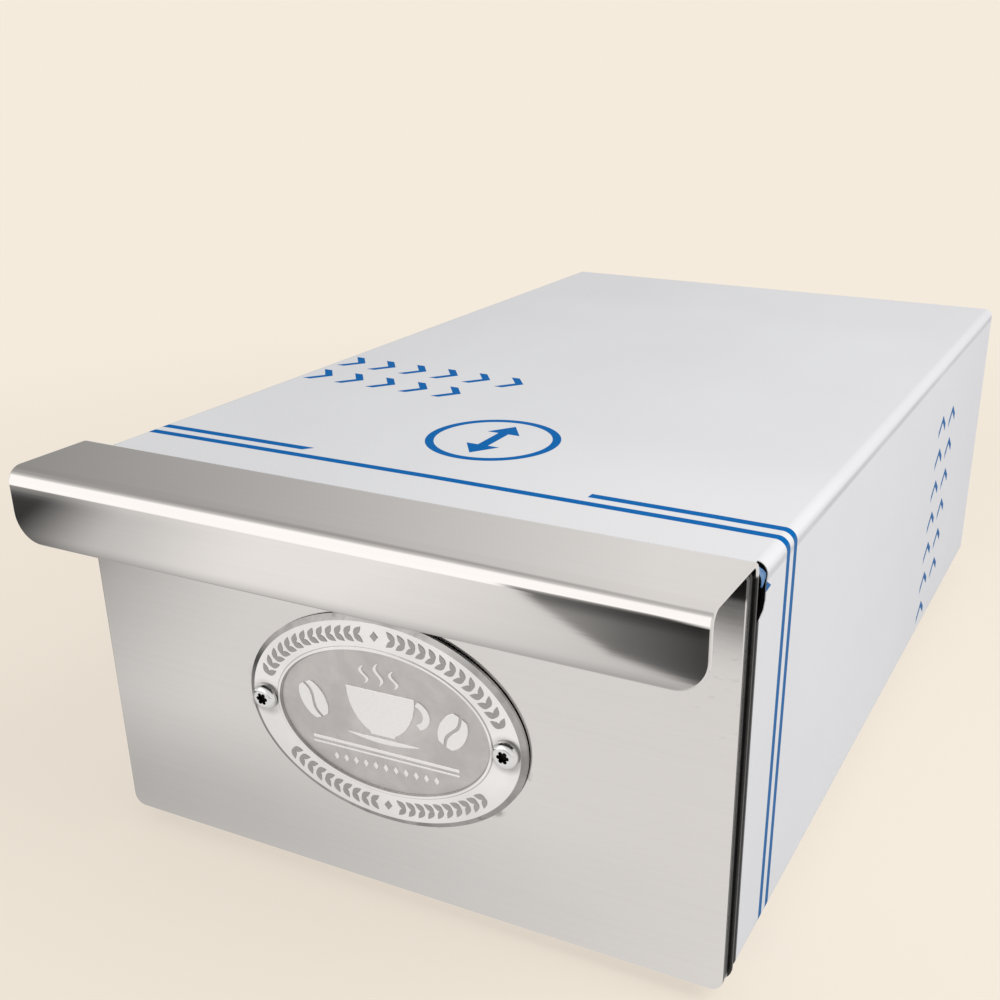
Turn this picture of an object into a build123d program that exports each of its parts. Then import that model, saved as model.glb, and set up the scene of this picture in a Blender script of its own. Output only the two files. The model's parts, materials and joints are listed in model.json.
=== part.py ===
from build123d import *
import os

# Coffee knock drawer: a folded steel sleeve on rubber feet, and a drawer that slides out of its front.
# X runs to the right across the front, Y from the front to the back and Z up.
# The origin is the middle of the footprint, on the surface that the feet stand on.

# Casing sleeve
case_width = 201.6
case_height = 114.2
case_depth = 321.8
case_sheet = 1.0
case_bend_radius = 3.0
case_edge_radius = 0.45
front_flange = 8.0
relief_depth = 4.7
relief_top_depth = 5.4
relief_drop = 13.0
relief_reach = 2.6
relief_foot_depth = 3.6
relief_foot_height = 1.5
relief_heel_height = 3.7
relief_neck_drop = 5.0
relief_shoulder_drop = 2.8
relief_radius = 0.9
film_thickness = 0.2
film_setback = 0.3
film_tuck = 6.0

# Rear panel and its bumpers
pan_flange = 12.0
pan_fit = 0.1
bumper_radius = 6.0
bumper_length = 5.0
bumper_edge = 1.0
bumper_side_inset = 34.0
bumper_height = 46.0
bumper_stem_radius = 2.5
bumper_gap = 0.3

# Feet
foot_height = 8.0
foot_top_radius = 10.0
foot_base_radius = 8.5
foot_recess_radius = 4.8
foot_seat_thickness = 3.0
foot_hole_radius = 2.1
foot_glide_gap = 10.2
foot_end_inset = 30.0
foot_screw_radius = 2.0
foot_head_radius = 4.0
foot_head_height = 2.4
foot_nut_across = 7.0
foot_nut_height = 2.2
foot_screw_tail = 0.6

# Glide strips on the casing floor
glide_thickness = 3.5
glide_width = 15.0
glide_lip_height = 9.0
glide_lip_thickness = 2.4
glide_front_setback = 4.0
glide_rear_setback = 16.0
glide_clearance = 0.1
glide_side_clearance = 0.6
glide_rivet_count = 3
glide_rivet_end_inset = 26.0
rivet_radius = 1.6
rivet_head_radius = 3.2
rivet_head_height = 1.0
rivet_tail_height = 0.8

# Front sheets
panel_side_inset = 0.8
panel_drop = 3.3
panel_sheet = 1.3
panel_corner_radius = 3.8
panel_top_radius = 1.6
panel_top_gap = 0.9
panel_edge_radius = 0.35
tape_thickness = 0.7
tape_inset = 0.7
backing_sheet = 1.3
backing_inset = 0.1
gasket_thickness = 1.2
gasket_side_inset = 0.85
gasket_low_inset = 0.2
gasket_top_gap = 0.2
front_clearance = 0.5

# Handle plate
handle_side_inset = 0.05
handle_rise = 3.4
handle_sheet = 1.5
handle_reach = 25.3
handle_back_bend = 4.0
handle_front_bend = 4.6
lip_height = 20.9
lip_corner_radius = 8.5
handle_corner_radius = 4.4
handle_edge_radius = 0.45

# Badge
badge_width = 89.8
badge_height = 63.3
badge_thickness = 1.5
badge_level = 55.9
badge_offset = -0.7
badge_turn = 1.3
badge_bevel_width = 1.65
badge_bevel_depth = 0.7
badge_end_band = 10.8
badge_side_band = 10.1
badge_field_depth = 0.55
badge_ridge_width = 0.7
badge_ridge_height = 0.25
badge_pad_thickness = 0.4
badge_pad_inset = 0.9
badge_screw_inset = 5.9
badge_screw_radius = 2.0
badge_head_radius = 3.95
badge_head_height = 2.3
badge_head_rim = 0.5
lobe_ring_radius = 1.25
lobe_radius = 0.62
lobe_count = 6
lobe_depth = 1.3

# Tub
tub_side_gap = 3.8
tub_headroom = 15.6
tub_sheet = 1.0
tub_bend_radius = 3.0
tub_rim = 2.3
ear_length = 60.0
ear_corner_radius = 8.0
ear_headroom = 1.6
ear_cap_thickness = 1.6
ear_cap_depth = 9.0

# Front fasteners
stud_radius = 2.0
stud_clearance = 0.2
stud_side_inset = 18.0
stud_low_inset = 16.0
stud_high_inset = 9.0
nut_across = 7.0
nut_height = 3.2
washer_radius = 4.5
washer_thickness = 0.8
stud_tail = 1.2

# Knock bar
bar_setback = 78.0
bar_drop = 22.0
sleeve_radius = 11.5
sleeve_edge = 1.5
tube_radius = 7.0
tube_bore_radius = 3.1
tube_fit = 0.05
bush_radius = 10.0
bush_thickness = 4.0
bar_bolt_radius = 3.0
bar_bolt_clearance = 0.2
bar_bolt_length = 22.0
bar_head_radius = 5.5
bar_head_height = 2.5
bar_socket_radius = 2.0
bar_socket_depth = 1.4

# Length by which a cutting tool passes through what it cuts
overrun = 5.0

# Levels above the standing surface
case_bottom = foot_height
case_top = case_bottom + case_height
film_top = case_top + film_thickness
front_bottom = case_bottom - panel_drop
handle_top = film_top + handle_rise
flange_underside = handle_top - handle_sheet
panel_top = flange_underside - panel_top_gap
gasket_top = flange_underside - (handle_back_bend - handle_sheet) - gasket_top_gap
lip_bottom = handle_top - lip_height
floor_level = case_bottom + case_sheet
ceiling_level = case_top - case_sheet
tub_bottom = floor_level + glide_thickness + glide_clearance
mouth_top = case_top - front_flange
tub_top = mouth_top - tub_headroom
badge_z = front_bottom + badge_level
stud_low_z = tub_bottom + stud_low_inset
stud_high_z = tub_top - stud_high_inset
bar_z = tub_top - bar_drop
ear_top = ceiling_level - ear_headroom - ear_cap_thickness

# Places from the lip's front face to the back of the casing
front_sheets = panel_sheet + tape_thickness + backing_sheet + gasket_thickness + handle_sheet
stack_depth = front_sheets + front_clearance
total_depth = handle_reach + stack_depth + case_depth
lip_y = -total_depth / 2
panel_y = lip_y + handle_reach
tape_y = panel_y + panel_sheet
backing_y = tape_y + tape_thickness
gasket_y = backing_y + backing_sheet
handle_y = gasket_y + gasket_thickness
tub_front_y = handle_y + handle_sheet
case_y = tub_front_y + front_clearance
rear_y = case_y + case_depth
tub_rear_y = rear_y - case_sheet - bumper_length - bumper_gap
ear_front_y = tub_rear_y - ear_length
bar_y = tub_front_y + bar_setback
badge_back_y = panel_y - badge_pad_thickness
badge_face_y = badge_back_y - badge_thickness
travel = ear_front_y - ear_cap_thickness - (case_y + case_sheet)

# Half widths
case_half = case_width / 2
case_inner_half = case_half - case_sheet
mouth_half = case_half - front_flange
front_half = case_half - panel_side_inset
handle_half = case_half - handle_side_inset
tub_half = mouth_half - tub_side_gap
tub_inner_half = tub_half - tub_sheet
stud_half = tub_inner_half - stud_side_inset
badge_half = badge_width / 2
badge_screw_half = badge_half - badge_screw_inset
glide_outer_x = tub_half + glide_side_clearance + glide_lip_thickness
glide_inner_x = glide_outer_x - glide_width


def upright(y):
    """Sketch plane across the travel at depth y; a negative extrude runs towards the back."""
    return Plane.XZ.offset(-y)


def sideways(x):
    """Sketch plane along the travel at x, drawn in Y and Z; a positive extrude runs to the right."""
    return Plane.YZ.offset(x)


def edges_near(part, axis, points):
    """The straight edges along an axis that lie nearest to each of some points."""
    return [part.edges().filter_by(axis).sort_by_distance(point)[0] for point in points]


def save(part, name):
    """Label one finished piece and write its STEP file."""
    part.label = name
    export_step(part, os.path.join("parts", name + ".step"))


def sheet_profile(half_width, bottom, top, low_radius, high_radius):
    """Upright sheet outline with its own radius at the lower and at the upper corners."""
    with Locations((0, (bottom + top) / 2)):
        Rectangle(2 * half_width, top - bottom)
    fillet(vertices().group_by(Axis.Y)[0], low_radius)
    if high_radius:
        fillet(vertices().group_by(Axis.Y)[-1], high_radius)


def front_holes(radius):
    """Round holes for the four weld studs and the two badge screws, in a sketch across the front."""
    with Locations(*front_hole_places):
        Circle(radius, mode=Mode.SUBTRACT)


badge_place = Location((badge_offset, badge_z, 0), (0, 0, badge_turn))
badge_screw_points = [badge_place * Location((side * badge_screw_half, 0, 0)) for side in (-1, 1)]
badge_screw_places = [(point.position.X, point.position.Y) for point in badge_screw_points]
stud_places = [(side * stud_half, level) for side in (-1, 1) for level in (stud_low_z, stud_high_z)]
front_hole_places = stud_places + badge_screw_places

os.makedirs("parts", exist_ok=True)

# Casing shell: sleeve with flanges turned in at the front and a relief notch at each top corner
foot_x = glide_inner_x - foot_glide_gap
foot_front_y = case_y + foot_end_inset
foot_rear_y = rear_y - foot_end_inset
foot_places = {
    "foot_front_left": (-foot_x, foot_front_y),
    "foot_front_right": (foot_x, foot_front_y),
    "foot_rear_left": (-foot_x, foot_rear_y),
    "foot_rear_right": (foot_x, foot_rear_y),
}
glide_front_y = case_y + glide_front_setback
glide_rear_y = rear_y - glide_rear_setback
rivet_x = (glide_inner_x + tub_half) / 2
rivet_first_y = glide_front_y + glide_rivet_end_inset
rivet_pitch = (glide_rear_y - glide_front_y - 2 * glide_rivet_end_inset) / (glide_rivet_count - 1)
rivet_ys = [rivet_first_y + step * rivet_pitch for step in range(glide_rivet_count)]
rivet_places = [(side * rivet_x, rivet_y) for side in (-1, 1) for rivet_y in rivet_ys]
sleeve_middle = (0, (case_bottom + case_top) / 2)
relief_low = case_top - relief_drop
relief_outline = [
    (case_y - overrun, relief_low),
    (case_y, relief_low),
    (case_y + relief_foot_depth, relief_low + relief_foot_height),
    (case_y + relief_depth, relief_low + relief_heel_height),
    (case_y + relief_depth, case_top - relief_neck_drop),
    (case_y + relief_top_depth, case_top - relief_shoulder_drop),
    (case_y + relief_top_depth, case_top + overrun),
    (case_y - overrun, case_top + overrun),
]


def cut_corner_reliefs():
    """Notches where the side and top flanges would meet at the two upper front corners."""
    for side in (-1, 1):
        with BuildPart(mode=Mode.PRIVATE) as notch:
            with BuildSketch(sideways(side * (case_half - relief_reach))) as outline:
                with BuildLine():
                    Polyline(*relief_outline, close=True)
                make_face()
                fillet(outline.vertices(), relief_radius)
            extrude(amount=side * (relief_reach + overrun))
        add(notch.part, mode=Mode.SUBTRACT)


with BuildPart() as casing_shell:
    with BuildSketch(upright(case_y)):
        with Locations(sleeve_middle):
            RectangleRounded(case_width, case_height, case_bend_radius)
    extrude(amount=-case_depth)
    with BuildSketch(upright(case_y + case_sheet)):
        with Locations(sleeve_middle):
            RectangleRounded(2 * case_inner_half, case_height - 2 * case_sheet, case_bend_radius - case_sheet)
    extrude(amount=-case_depth, mode=Mode.SUBTRACT)
    with BuildSketch(upright(case_y)):
        with Locations((0, (floor_level + mouth_top) / 2)):
            Rectangle(2 * mouth_half, mouth_top - floor_level)
    extrude(amount=-case_sheet, mode=Mode.SUBTRACT)
    front_rim = casing_shell.faces().sort_by(Axis.Y)[0].outer_wire().edges()
    fillet(front_rim, case_edge_radius)
    cut_corner_reliefs()
    with BuildSketch(Plane.XY.offset(case_bottom)):
        with Locations(*foot_places.values()):
            Circle(foot_hole_radius)
        with Locations(*rivet_places):
            Circle(rivet_radius)
    extrude(amount=case_sheet, mode=Mode.SUBTRACT)
save(casing_shell.part, "casing_shell")

# Protective film: thin skin over the top and the sides, tucked under the floor's two edges
with BuildPart() as protective_film:
    with BuildSketch(upright(case_y + film_setback)):
        with Locations(sleeve_middle):
            RectangleRounded(
                case_width + 2 * film_thickness,
                case_height + 2 * film_thickness,
                case_bend_radius + film_thickness,
            )
            RectangleRounded(case_width, case_height, case_bend_radius, mode=Mode.SUBTRACT)
        with Locations((0, case_bottom)):
            Rectangle(2 * (case_half - case_bend_radius - film_tuck), 4 * film_thickness, mode=Mode.SUBTRACT)
    extrude(amount=-(case_depth - film_setback))
    cut_corner_reliefs()
save(protective_film.part, "protective_film")

# Rear panel: pan with its edges bent forward inside the sleeve
pan_half = case_inner_half - pan_fit
pan_height = case_height - 2 * (case_sheet + pan_fit)
pan_radius = case_bend_radius - case_sheet - pan_fit
bumper_half = tub_half - bumper_side_inset
bumper_z = floor_level + bumper_height
with BuildPart() as rear_panel:
    with BuildSketch(upright(rear_y)):
        with Locations(sleeve_middle):
            RectangleRounded(2 * pan_half, pan_height, pan_radius)
    extrude(amount=pan_flange)
    with BuildSketch(upright(rear_y - case_sheet)):
        with Locations(sleeve_middle):
            RectangleRounded(
                2 * (pan_half - case_sheet), pan_height - 2 * case_sheet, pan_radius - case_sheet
            )
    extrude(amount=pan_flange, mode=Mode.SUBTRACT)
    with BuildSketch(upright(rear_y)):
        with Locations((-bumper_half, bumper_z), (bumper_half, bumper_z)):
            Circle(bumper_stem_radius)
    extrude(amount=case_sheet, mode=Mode.SUBTRACT)
save(rear_panel.part, "rear_panel")

# Rear bumpers: rubber buttons whose stems fill the rear panel's holes
with BuildPart() as rear_bumpers:
    with BuildSketch(upright(rear_y - case_sheet)):
        with Locations((-bumper_half, bumper_z), (bumper_half, bumper_z)):
            Circle(bumper_radius)
    extrude(amount=bumper_length)
    bumper_fronts = rear_bumpers.faces().filter_by(Plane.XZ).group_by(Axis.Y)[0]
    fillet(bumper_fronts.edges(), bumper_edge)
    with BuildSketch(upright(rear_y - case_sheet)):
        with Locations((-bumper_half, bumper_z), (bumper_half, bumper_z)):
            Circle(bumper_stem_radius)
    extrude(amount=-case_sheet)
save(rear_bumpers.part, "rear_bumpers")

# Rubber feet: tapered discs with a recess for the screw head
for foot_name, (foot_place_x, foot_place_y) in foot_places.items():
    with BuildPart() as foot:
        with BuildSketch(Plane(origin=(foot_place_x, foot_place_y, 0))):
            Circle(foot_base_radius)
        with BuildSketch(Plane(origin=(foot_place_x, foot_place_y, foot_height))):
            Circle(foot_top_radius)
        loft()
        with BuildSketch(Plane(origin=(foot_place_x, foot_place_y, 0))):
            Circle(foot_recess_radius)
        extrude(amount=foot_height - foot_seat_thickness, mode=Mode.SUBTRACT)
        with BuildSketch(Plane(origin=(foot_place_x, foot_place_y, 0))):
            Circle(foot_hole_radius)
        extrude(amount=foot_height, mode=Mode.SUBTRACT)
    save(foot.part, foot_name)

# Foot screws: pan heads up against the seat in each foot, shanks through the casing floor
foot_seat_z = foot_height - foot_seat_thickness
foot_screw_top = floor_level + foot_nut_height + foot_screw_tail
with BuildPart() as foot_screws:
    with BuildSketch(Plane.XY.offset(foot_seat_z - foot_head_height)):
        with Locations(*foot_places.values()):
            Circle(foot_head_radius)
    extrude(amount=foot_head_height)
    with BuildSketch(Plane.XY.offset(foot_seat_z)):
        with Locations(*foot_places.values()):
            Circle(foot_screw_radius)
    extrude(amount=foot_screw_top - foot_seat_z)
save(foot_screws.part, "foot_screws")

# Foot nuts: thin hexagon nuts on the casing floor
with BuildPart() as foot_nuts:
    with BuildSketch(Plane.XY.offset(floor_level)):
        with Locations(*foot_places.values()):
            RegularPolygon(foot_nut_across / 2, 6, major_radius=False)
            Circle(foot_screw_radius, mode=Mode.SUBTRACT)
    extrude(amount=foot_nut_height)
save(foot_nuts.part, "foot_nuts")

# Glide strips: L section, the base under the tub and the lip beside it
glide_length = glide_rear_y - glide_front_y
rivet_seat_z = floor_level + glide_thickness - rivet_head_height
for side, glide_name in ((-1, "glide_strip_left"), (1, "glide_strip_right")):
    with BuildPart() as glide_strip:
        with BuildSketch(upright(glide_front_y)):
            with BuildLine():
                Polyline(
                    (side * glide_inner_x, floor_level),
                    (side * glide_outer_x, floor_level),
                    (side * glide_outer_x, floor_level + glide_lip_height),
                    (side * (glide_outer_x - glide_lip_thickness), floor_level + glide_lip_height),
                    (side * (glide_outer_x - glide_lip_thickness), floor_level + glide_thickness),
                    (side * glide_inner_x, floor_level + glide_thickness),
                    close=True,
                )
            make_face()
        extrude(amount=-glide_length)
        side_rivets = [place for place in rivet_places if place[0] * side > 0]
        with BuildSketch(Plane.XY.offset(floor_level)):
            with Locations(*side_rivets):
                Circle(rivet_radius)
        extrude(amount=glide_thickness, mode=Mode.SUBTRACT)
        with BuildSketch(Plane.XY.offset(rivet_seat_z)):
            with Locations(*side_rivets):
                Circle(rivet_head_radius)
        extrude(amount=rivet_head_height, mode=Mode.SUBTRACT)
    save(glide_strip.part, glide_name)

# Glide rivets: heads sunk in the strips, tails formed under the casing floor
with BuildPart() as glide_rivets:
    with BuildSketch(Plane.XY.offset(rivet_seat_z)):
        with Locations(*rivet_places):
            Circle(rivet_head_radius)
    extrude(amount=rivet_head_height)
    with BuildSketch(Plane.XY.offset(case_bottom)):
        with Locations(*rivet_places):
            Circle(rivet_radius)
    extrude(amount=rivet_seat_z - case_bottom)
    with BuildSketch(Plane.XY.offset(case_bottom - rivet_tail_height)):
        with Locations(*rivet_places):
            Circle(rivet_head_radius)
    extrude(amount=rivet_tail_height)
save(glide_rivets.part, "glide_rivets")

# Front panel: polished outer sheet, with clear holes only for the badge screws
with BuildPart() as front_panel:
    with BuildSketch(upright(panel_y)):
        sheet_profile(front_half, front_bottom, panel_top, panel_corner_radius, panel_top_radius)
        with Locations(*badge_screw_places):
            Circle(badge_screw_radius + stud_clearance, mode=Mode.SUBTRACT)
    extrude(amount=-panel_sheet)
    fillet(front_panel.faces().sort_by(Axis.Y)[0].outer_wire().edges(), panel_edge_radius)
save(front_panel.part, "front_panel")

# Panel tape: black layer between the outer sheet and the backing plate
with BuildPart() as panel_tape:
    with BuildSketch(upright(tape_y)):
        sheet_profile(
            front_half - tape_inset, front_bottom + tape_inset, panel_top - tape_inset, panel_corner_radius, 0
        )
        front_holes(stud_radius + stud_clearance)
    extrude(amount=-tape_thickness)
save(panel_tape.part, "panel_tape")

# Backing plate: second steel sheet, a little smaller than the outer one
with BuildPart() as backing_plate:
    with BuildSketch(upright(backing_y)):
        sheet_profile(
            front_half - backing_inset,
            front_bottom + backing_inset,
            panel_top - backing_inset,
            panel_corner_radius,
            panel_top_radius,
        )
        front_holes(stud_radius + stud_clearance)
    extrude(amount=-backing_sheet)
save(backing_plate.part, "backing_plate")

# Front gasket: black rubber sheet between the backing plate and the handle plate
with BuildPart() as front_gasket:
    with BuildSketch(upright(gasket_y)):
        sheet_profile(
            handle_half - gasket_side_inset,
            front_bottom + gasket_low_inset,
            gasket_top,
            handle_corner_radius,
            0,
        )
        front_holes(stud_radius + stud_clearance)
    extrude(amount=-gasket_thickness)
save(front_gasket.part, "front_gasket")

# Handle plate: upright sheet whose top bends forward into a flange and down into the lip
back_y = handle_y + handle_sheet
with BuildPart() as handle_plate:
    with BuildSketch(sideways(-handle_half)):
        with BuildLine():
            Polyline(
                (back_y, front_bottom),
                (back_y, handle_top),
                (lip_y, handle_top),
                (lip_y, lip_bottom),
                (lip_y + handle_sheet, lip_bottom),
                (lip_y + handle_sheet, flange_underside),
                (handle_y, flange_underside),
                (handle_y, front_bottom),
                close=True,
            )
        make_face()
    extrude(amount=2 * handle_half)
    fillet(edges_near(handle_plate, Axis.X, [(0, back_y, handle_top)]), handle_back_bend)
    back_corner = (0, handle_y, flange_underside)
    fillet(edges_near(handle_plate, Axis.X, [back_corner]), handle_back_bend - handle_sheet)
    fillet(edges_near(handle_plate, Axis.X, [(0, lip_y, handle_top)]), handle_front_bend)
    fillet(
        edges_near(handle_plate, Axis.X, [(0, lip_y + handle_sheet, flange_underside)]),
        handle_front_bend - handle_sheet,
    )
    lip_corners = [(side * handle_half, lip_y, lip_bottom) for side in (-1, 1)]
    fillet(edges_near(handle_plate, Axis.Y, lip_corners), lip_corner_radius)
    low_corners = [(side * handle_half, back_y, front_bottom) for side in (-1, 1)]
    fillet(edges_near(handle_plate, Axis.Y, low_corners), handle_corner_radius)
    end_faces = handle_plate.faces().filter_by(Plane.YZ)
    fillet(end_faces.edges(), handle_edge_radius)
    with BuildSketch(upright(handle_y)):
        with Locations(*front_hole_places):
            Circle(stud_radius + stud_clearance)
    extrude(amount=-handle_sheet, mode=Mode.SUBTRACT)
save(handle_plate.part, "handle_plate")

# Badge pad: thin dark foam under the badge, a little smaller than it
with BuildPart() as badge_pad:
    with BuildSketch(upright(panel_y)):
        with Locations(badge_place):
            Ellipse(badge_half - badge_pad_inset, badge_height / 2 - badge_pad_inset)
        with Locations(*badge_screw_places):
            Circle(badge_screw_radius + stud_clearance, mode=Mode.SUBTRACT)
    extrude(amount=badge_pad_thickness)
save(badge_pad.part, "badge_pad")

# Badge: bevelled oval plate with a thin ridge round a sunk middle field
field_a = badge_half - badge_end_band
field_b = badge_height / 2 - badge_side_band
with BuildPart() as badge:
    with BuildSketch(upright(badge_back_y)):
        with Locations(badge_place):
            Ellipse(badge_half, badge_height / 2)
    extrude(amount=badge_thickness - badge_bevel_depth)
    with BuildSketch(upright(badge_back_y - badge_thickness + badge_bevel_depth)):
        with Locations(badge_place):
            Ellipse(badge_half, badge_height / 2)
    with BuildSketch(upright(badge_face_y)):
        with Locations(badge_place):
            Ellipse(badge_half - badge_bevel_width, badge_height / 2 - badge_bevel_width)
    loft()
    with BuildSketch(upright(badge_face_y)):
        with Locations(badge_place):
            Ellipse(field_a + badge_ridge_width, field_b + badge_ridge_width)
    extrude(amount=badge_ridge_height)
    with BuildSketch(upright(badge_face_y - badge_ridge_height)):
        with Locations(badge_place):
            Ellipse(field_a, field_b)
    extrude(amount=-(badge_ridge_height + badge_field_depth), mode=Mode.SUBTRACT)
    with BuildSketch(upright(badge_back_y)):
        with Locations(*badge_screw_places):
            Circle(badge_screw_radius + stud_clearance)
    extrude(amount=badge_thickness, mode=Mode.SUBTRACT)
save(badge.part, "badge")

# Badge screws: domed pan heads with a six-lobed recess, long enough to clamp the whole front
badge_screw_end = tub_front_y + tub_sheet + washer_thickness + nut_height + stud_tail
with BuildPart() as badge_screws:
    with BuildSketch(upright(badge_face_y)):
        with Locations(*badge_screw_places):
            Circle(badge_head_radius)
    extrude(amount=badge_head_height)
    head_fronts = badge_screws.faces().filter_by(Plane.XZ).group_by(Axis.Y)[0]
    fillet(head_fronts.edges(), badge_head_height - badge_head_rim)
    with BuildSketch(upright(badge_face_y)):
        with Locations(*badge_screw_places):
            Circle(badge_screw_radius)
    extrude(amount=-(badge_screw_end - badge_face_y))
    with BuildSketch(upright(badge_face_y - badge_head_height)):
        with Locations(*badge_screw_places):
            Circle(lobe_ring_radius)
            with PolarLocations(lobe_ring_radius, lobe_count):
                Circle(lobe_radius)
    extrude(amount=-lobe_depth, mode=Mode.SUBTRACT)
save(badge_screws.part, "badge_screws")

# Panel studs: welded to the back of the outer sheet
with BuildPart() as panel_studs:
    with BuildSketch(upright(tape_y)):
        with Locations(*stud_places):
            Circle(stud_radius)
    extrude(amount=-(badge_screw_end - tape_y))
save(panel_studs.part, "panel_studs")

# Front washers and nuts on the tub's inner face
tub_inner_front_y = tub_front_y + tub_sheet
with BuildPart() as front_washers:
    with BuildSketch(upright(tub_inner_front_y)):
        with Locations(*front_hole_places):
            Circle(washer_radius)
            Circle(stud_radius + stud_clearance, mode=Mode.SUBTRACT)
    extrude(amount=-washer_thickness)
save(front_washers.part, "front_washers")

with BuildPart() as front_nuts:
    with BuildSketch(upright(tub_inner_front_y + washer_thickness)):
        with Locations(*front_hole_places):
            RegularPolygon(nut_across / 2, 6, major_radius=False)
            Circle(stud_radius, mode=Mode.SUBTRACT)
    extrude(amount=-nut_height)
save(front_nuts.part, "front_nuts")

# Tub trough: floor and sides folded from one sheet, with side rims and a tall ear at each rear corner
trough_front_y = tub_front_y + tub_sheet
trough_rear_y = tub_rear_y - tub_sheet
ear_middle = ((ear_front_y + trough_rear_y) / 2, (tub_top - tub_rim + ear_top) / 2)
ear_height = ear_top - tub_top + tub_rim
rim_x = tub_inner_half + (tub_rim + tub_sheet) / 2
rim_y = (trough_front_y + ear_front_y) / 2


def ear_outline():
    """Side view of one ear, in a sketch drawn in Y and Z."""
    with Locations(ear_middle):
        Rectangle(trough_rear_y - ear_front_y, ear_height)
    fillet(vertices().group_by(Axis.Y)[-1], ear_corner_radius)


with BuildPart() as tub_trough:
    with BuildSketch(upright(trough_front_y)):
        sheet_profile(tub_half, tub_bottom, tub_top, tub_bend_radius, 0)
    extrude(amount=-(trough_rear_y - trough_front_y))
    with BuildSketch(upright(trough_front_y)):
        sheet_profile(
            tub_inner_half, tub_bottom + tub_sheet, tub_top + overrun, tub_bend_radius - tub_sheet, 0
        )
    extrude(amount=-(trough_rear_y - trough_front_y), mode=Mode.SUBTRACT)
    with BuildSketch(Plane.XY.offset(tub_top)):
        with Locations((-rim_x, rim_y), (rim_x, rim_y)):
            Rectangle(tub_rim + tub_sheet, ear_front_y - trough_front_y)
    extrude(amount=-tub_sheet)
    for ear_x in (-tub_half, tub_inner_half):
        with BuildSketch(sideways(ear_x)):
            ear_outline()
        extrude(amount=tub_sheet)
    with BuildSketch(sideways(-tub_half)):
        with Locations((bar_y, bar_z)):
            Circle(bar_bolt_radius + bar_bolt_clearance)
    extrude(amount=2 * tub_half, mode=Mode.SUBTRACT)
save(tub_trough.part, "tub_trough")

# Tub end walls: flat plates welded to the ends of the trough
with BuildPart() as tub_front_wall:
    with BuildSketch(upright(tub_front_y)):
        sheet_profile(tub_half, tub_bottom, tub_top, tub_bend_radius, 0)
        front_holes(stud_radius + stud_clearance)
    extrude(amount=-tub_sheet)
save(tub_front_wall.part, "tub_front_wall")

with BuildPart() as tub_rear_wall:
    with BuildSketch(upright(trough_rear_y)):
        sheet_profile(tub_half, tub_bottom, tub_top, tub_bend_radius, 0)
    extrude(amount=-tub_sheet)
save(tub_rear_wall.part, "tub_rear_wall")

# Ear caps: plastic caps over the top and the front edge of each ear
cap_front_y = ear_front_y - ear_cap_thickness
cap_rear_y = trough_rear_y + ear_cap_thickness
cap_top = ear_top + ear_cap_thickness
cap_bottom = tub_top + ear_cap_thickness
cap_open_front_y = ear_front_y + ear_cap_depth
cap_middle = ((cap_front_y + cap_rear_y) / 2, (cap_bottom + cap_top) / 2)
cap_open_middle = ((cap_open_front_y + cap_rear_y) / 2, cap_middle[1] - ear_cap_depth)
for ear_x, cap_name in ((-tub_half, "ear_cap_left"), (tub_inner_half, "ear_cap_right")):
    with BuildPart() as ear_cap:
        with BuildSketch(sideways(ear_x - ear_cap_thickness)):
            with Locations(cap_middle):
                Rectangle(cap_rear_y - cap_front_y, cap_top - cap_bottom)
            fillet(vertices().group_by(Axis.Y)[-1], ear_corner_radius + ear_cap_thickness)
            with Locations(cap_open_middle):
                Rectangle(cap_rear_y - cap_open_front_y, cap_top - cap_bottom, mode=Mode.SUBTRACT)
        extrude(amount=tub_sheet + 2 * ear_cap_thickness)
        with BuildSketch(sideways(ear_x)):
            ear_outline()
        extrude(amount=tub_sheet, mode=Mode.SUBTRACT)
    save(ear_cap.part, cap_name)

# Knock bar: steel tube under a rubber sleeve, spaced from the tub's sides by plastic bushes
bar_half = tub_inner_half
sleeve_half = bar_half - bush_thickness
with BuildPart() as knock_bar_tube:
    with BuildSketch(sideways(-bar_half)):
        with Locations((bar_y, bar_z)):
            Circle(tube_radius)
            Circle(tube_bore_radius, mode=Mode.SUBTRACT)
    extrude(amount=2 * bar_half)
save(knock_bar_tube.part, "knock_bar_tube")

with BuildPart() as knock_bar_sleeve:
    with BuildSketch(sideways(-sleeve_half)):
        with Locations((bar_y, bar_z)):
            Circle(sleeve_radius)
    extrude(amount=2 * sleeve_half)
    sleeve_ends = knock_bar_sleeve.faces().filter_by(Plane.YZ)
    fillet(sleeve_ends.edges(), sleeve_edge)
    with BuildSketch(sideways(-sleeve_half)):
        with Locations((bar_y, bar_z)):
            Circle(tube_radius + tube_fit)
    extrude(amount=2 * sleeve_half, mode=Mode.SUBTRACT)
save(knock_bar_sleeve.part, "knock_bar_sleeve")

with BuildPart() as knock_bar_bushes:
    for bush_x in (-bar_half, sleeve_half):
        with BuildSketch(sideways(bush_x)):
            with Locations((bar_y, bar_z)):
                Circle(bush_radius)
                Circle(tube_radius + tube_fit, mode=Mode.SUBTRACT)
        extrude(amount=bush_thickness)
save(knock_bar_bushes.part, "knock_bar_bushes")

with BuildPart() as knock_bar_bolts:
    for side in (-1, 1):
        with BuildSketch(sideways(side * tub_half)):
            with Locations((bar_y, bar_z)):
                Circle(bar_head_radius)
        extrude(amount=side * bar_head_height)
        with BuildSketch(sideways(side * tub_half)):
            with Locations((bar_y, bar_z)):
                Circle(bar_bolt_radius)
        extrude(amount=-side * bar_bolt_length)
        with BuildSketch(sideways(side * (tub_half + bar_head_height))):
            with Locations((bar_y, bar_z)):
                RegularPolygon(bar_socket_radius, 6)
        extrude(amount=-side * bar_socket_depth, mode=Mode.SUBTRACT)
save(knock_bar_bolts.part, "knock_bar_bolts")
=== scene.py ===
import json
import math

import bmesh
import bpy
from mathutils import Matrix, Vector

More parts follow.
